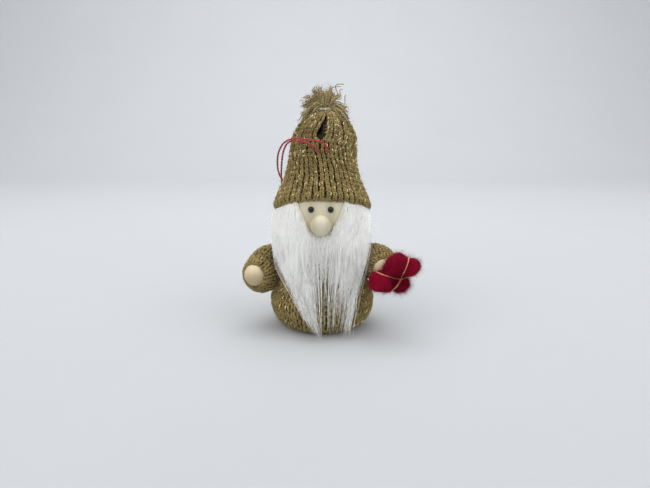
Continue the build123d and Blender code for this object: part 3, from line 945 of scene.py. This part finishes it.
def line_of(route):
    """Points of the NURBS line that a route's points steer, in millimetres."""
    data = bpy.data.curves.new("cord_line", "CURVE")
    data.dimensions = "3D"
    data.resolution_u = 24
    spline = data.splines.new("NURBS")
    spline.points.add(len(route) - 1)
    for point, place in zip(spline.points, route):
        point.co = (*(np.array(place) * MM), 1)
    spline.order_u = 3
    spline.use_endpoint_u = True
    guide = bpy.data.objects.new("cord_line", data)
    mesh = bpy.data.meshes.new_from_object(guide)
    points = np.array([vertex.co for vertex in mesh.vertices]) / MM
    bpy.data.objects.remove(guide)
    bpy.data.curves.remove(data)
    bpy.data.meshes.remove(mesh)
    return points


def make_cord():
    """Red thread of two plies wound round each other along the route's line."""
    line = line_of(cord_route)
    out = unit(np.cross(np.gradient(line, axis=0), np.array([0.3, 0.2, 1.0])))
    shape = Shape()
    wound(shape, line, out, cord_diameter * 0.28, 3.6)
    cord = shape.piece("red_cord", "figure", red_thread, "red_thread")
    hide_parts("hanging_cord")


make_cord()

# ---------------- parcel

parcel_middle = (parcel_low + parcel_high) / 2 + np.array([0.4, -0.2, 0.2])
# Puffs of felt between the cords: middle across and up, long way in degrees, half sizes.
puffs = [
    (0.1, 3.7, 62, 7.0, 5.4, 4.8),
    (7.3, 3.0, 30, 5.7, 4.3, 4.2),
    (-6.2, -3.9, 160, 6.7, 5.6, 4.8),
    (2.9, -4.9, -75, 4.4, 4.2, 4.2),
]
puff_root = np.array([1.6, 0, -1.5])
# Each cord: its way across and up, and how much both its ends bend to the side.
parcel_ties = [((1.0, -0.035), 0.235), ((0.446, 0.895), -0.087)]
tie_middle = np.array([2.5, 0, -1.7])


def parcel_reach(direction):
    """Distance from the puffs' common root to the felt: the far side of each puff's egg shape
    along that direction, softly joined, with small lumps."""
    reach = np.full(direction.shape[:-1], 2.6**6)
    for across, up, way, length, width, thickness in puffs:
        way = radians(way)
        long_way, wide_way = np.array([cos(way), 0, sin(way)]), np.array([-sin(way), 0, cos(way)])
        axes = np.stack([long_way / length, wide_way / width, np.array([0, 1.0, 0]) / thickness])
        ray, start = direction @ axes.T, axes @ (puff_root - np.array([across, 0, up]))
        a, b, c = (ray**2).sum(-1), ray @ start, start @ start - 1
        reach = reach + np.maximum((np.sqrt(np.maximum(b * b - a * c, 0)) - b) / a, 0) ** 6
    return 0.96 * reach ** (1 / 6) * (1 + 0.10 * ripple(direction * 10, 31, 9, 3))


def parcel_place(local):
    """From across, back and up of the parcel's middle to its place."""
    return parcel_middle + local


def make_parcel():
    """Crimson felt, puffed between its cords, with a nap of short fibres."""
    turns, tilts = 160, 84
    turn, tilt = np.meshgrid(
        np.linspace(0, 2 * pi, turns + 1)[:-1], np.linspace(0.02, pi - 0.02, tilts), indexing="ij"
    )
    direction = np.stack([np.sin(tilt) * np.cos(turn), np.cos(tilt), np.sin(tilt) * np.sin(turn)], -1)
    local = puff_root + parcel_reach(direction)[..., None] * direction
    shape = Shape()
    grid(shape, parcel_place(local), wrap_u=True)
    index = np.arange(turns)[None] * tilts
    for pole in (index, index + tilts - 1):
        shape.add(np.zeros((0, 3)), [pole - shape.count], [np.zeros((1, turns, 2))])
    parcel = shape.piece("parcel_felt", "right_arm", crimson_felt, "red_felt")
    closed(parcel)
    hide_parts("gift_parcel")
    rng = np.random.default_rng(32)
    for number, count, length in ((1, 5500, 1.35), (2, 3800, 2.1)):
        outs = unit(rng.normal(size=(count, 3)))
        places = parcel_place(puff_root + parcel_reach(outs)[:, None] * outs)
        nap = Shape()
        fuzz(nap, places, unit(places - parcel_middle), length, 0.032, 32 + number, 1.1)
        nap.piece(f"parcel_nap_{number}", "right_arm", crimson_felt, "red_felt")


def tie_line(way, bend, steps=160):
    """The closed line of a cord drawn tight over the felt. From the crossing inside, each
    direction is cos a along its way, sin a back and bend cos^2 a to the side, and the felt is
    found by halving an interval."""
    along, side = unit(np.array([way[0], 0, way[1]])), unit(np.array([way[1], 0, -way[0]]))
    side = side * (1 if way[1] > 0.5 else -1)
    angle = np.linspace(0, 2 * pi, steps, endpoint=False)[:, None]
    back = np.array([0, 1.0, 0])
    heading = unit(along * np.cos(angle) + back * np.sin(angle) + side * bend * np.cos(angle) ** 2)
    low, high = np.zeros((steps, 1)), np.full((steps, 1), 25.0)
    for _ in range(26):
        middle = (low + high) / 2
        away = tie_middle + heading * middle - puff_root
        size = np.linalg.norm(away, axis=1, keepdims=True)
        inside = size < parcel_reach(away / size)[:, None]
        low, high = np.where(inside, middle, low), np.where(inside, high, middle)
    turns = np.roll(low, 2), np.roll(low, 1), low, np.roll(low, -1), np.roll(low, -2)
    return parcel_place(tie_middle + heading * (sum(turns) / 5 + 0.15)), heading


def make_parcel_cord(number, node, way, bend, lift):
    """Gold cord of two plies twisted round each other, drawn tight round the parcel."""
    line, out = tie_line(way, bend)
    shape = Shape()
    wound(shape, line + lift * out, out, 0.21, 1.5, ring=True)
    cord = shape.piece(f"parcel_cord_{number}", "right_arm", gold_lurex, "gold_cord")
    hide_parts(node)


make_parcel()
make_parcel_cord(1, "gift_cord_long", *parcel_ties[0], 0.0)
make_parcel_cord(2, "gift_cord_cross", *parcel_ties[1], 0.3)

# ---------------- loose fibres and glints


def strewn(lines, outs, count, seed):
    """Random places along yarn lines, on the outward side of the yarn."""
    rng = np.random.default_rng(seed)
    places, ways = lines.reshape(-1, 3), outs.reshape(-1, 3)
    pick = rng.integers(0, len(places), count)
    return places[pick] + yarn_radius * 0.8 * ways[pick], ways[pick]


def make_fuzz(name, body, lines, outs, count, seed):
    """Loose wool fibres standing off the knitting."""
    shape = Shape()
    places, ways = strewn(lines, outs, count, seed)
    fuzz(shape, places, ways, 1.3, 0.04, seed + 1, 1.0)
    return shape.piece(name, body, olive_wool, "knit")


def make_glints(name, body, lines, outs, count, seed):
    """Short bits of gold film on the yarn: three points of its line, moved out by its radius
    towards cos p out + sin p side."""
    rng = np.random.default_rng(seed)
    rows, steps = lines.shape[:2]
    row = rng.integers(0, rows, count)
    step = rng.integers(0, steps, count)
    span = (step[:, None] + np.arange(3)) % steps
    base, out = lines[row[:, None], span], outs[row[:, None], span]
    along = unit(np.gradient(base, axis=1))
    side = np.cross(along, out)
    phase = rng.uniform(-0.9, 0.9, (count, 1)) + np.linspace(-0.3, 0.3, 3)
    wind = np.cos(phase)[..., None] * out + np.sin(phase)[..., None] * side
    shape = Shape()
    middle = base[:, 1:2]
    short = middle + (base - middle) * 0.7
    tubes(shape, short + (yarn_radius + 0.02) * wind, 0.15, wind, sides=4)
    return shape.piece(name, body, gold_glint, "gold_cord")


hat_fuzz = make_fuzz("hat_fuzz", "figure", hat_lines, hat_outs, 2600, 41)
make_fuzz("body_fuzz", "figure", body_lines, body_outs, 2200, 43)
hat_glints = make_glints("hat_glints", "figure", hat_lines, hat_outs, 520, 45)
make_glints("body_glints", "figure", body_lines, body_outs, 420, 46)
for side, seed in (("left", 47), ("right", 49)):
    lines, outs = sleeve_lines[side]
    make_fuzz(f"{side}_sleeve_fuzz", f"{side}_arm", lines, outs, 500, seed)
    make_glints(f"{side}_sleeve_glints", f"{side}_arm", lines, outs, 60, seed + 1)

# ---------------- floor and light


def make_floor():
    """A seamless pale sweep: a wide plane that curves up behind."""
    reach, depth, bend, top = 6400.0, 700.0, 500.0, 1600.0
    angle = np.linspace(0, pi / 2, 24)
    profile = [(-reach, 0.0)] + list(zip(depth + bend * np.sin(angle), bend * (1 - np.cos(angle))))
    profile.append((depth + bend, top))
    y, z = np.array(profile).T
    x = np.array([-reach, reach])
    points = np.stack([np.tile(x, (len(y), 1)), np.tile(y[:, None], 2), np.tile(z[:, None], 2)], -1)
    mesh = bpy.data.meshes.new("floor")
    shape = Shape()
    grid(shape, points)
    rows = [row for face in shape.faces for row in face[:, ::-1].tolist()]
    mesh.from_pydata((np.vstack(shape.points) * MM).tolist(), [], rows)
    mesh.polygons.foreach_set("use_smooth", np.full(len(mesh.polygons), True))
    f = Finish("pale_floor", Roughness=0.75)
    cloud = f.noise(f.place(), 0.12, 3, 0.6)
    mesh.materials.append(f.done(Base_Color=f.blend(cloud, (0.54, 0.553, 0.568), (0.565, 0.578, 0.593))))
    floor = bpy.data.objects.new("floor", mesh)
    bpy.context.collection.objects.link(floor)


def make_light():
    """Two broad softboxes in front, one overhead and a bright room."""
    aim = (0, 0, 0.06)
    soft_light("left_box", (-0.75, -0.65, 0.95), aim, 0.9, 4.4, (1.0, 0.98, 0.95))
    soft_light("right_box", (0.85, -0.55, 0.85), aim, 0.9, 3.4, (0.96, 0.98, 1.0))
    soft_light("top_box", (0.0, 0.15, 1.3), aim, 1.2, 4.4)
    soft_light("back_box", (0.0, 0.35, 1.1), (0, 1.2, 0.35), 1.2, 7.5)
    world = bpy.data.worlds.new("room")
    bpy.context.scene.world = world
    world.use_nodes = True
    world.node_tree.nodes["Background"].inputs["Color"].default_value = (0.93, 0.96, 1.0, 1)
    world.node_tree.nodes["Background"].inputs["Strength"].default_value = 0.60
    bpy.context.scene.view_settings.view_transform = "Standard"


make_floor()
make_light()
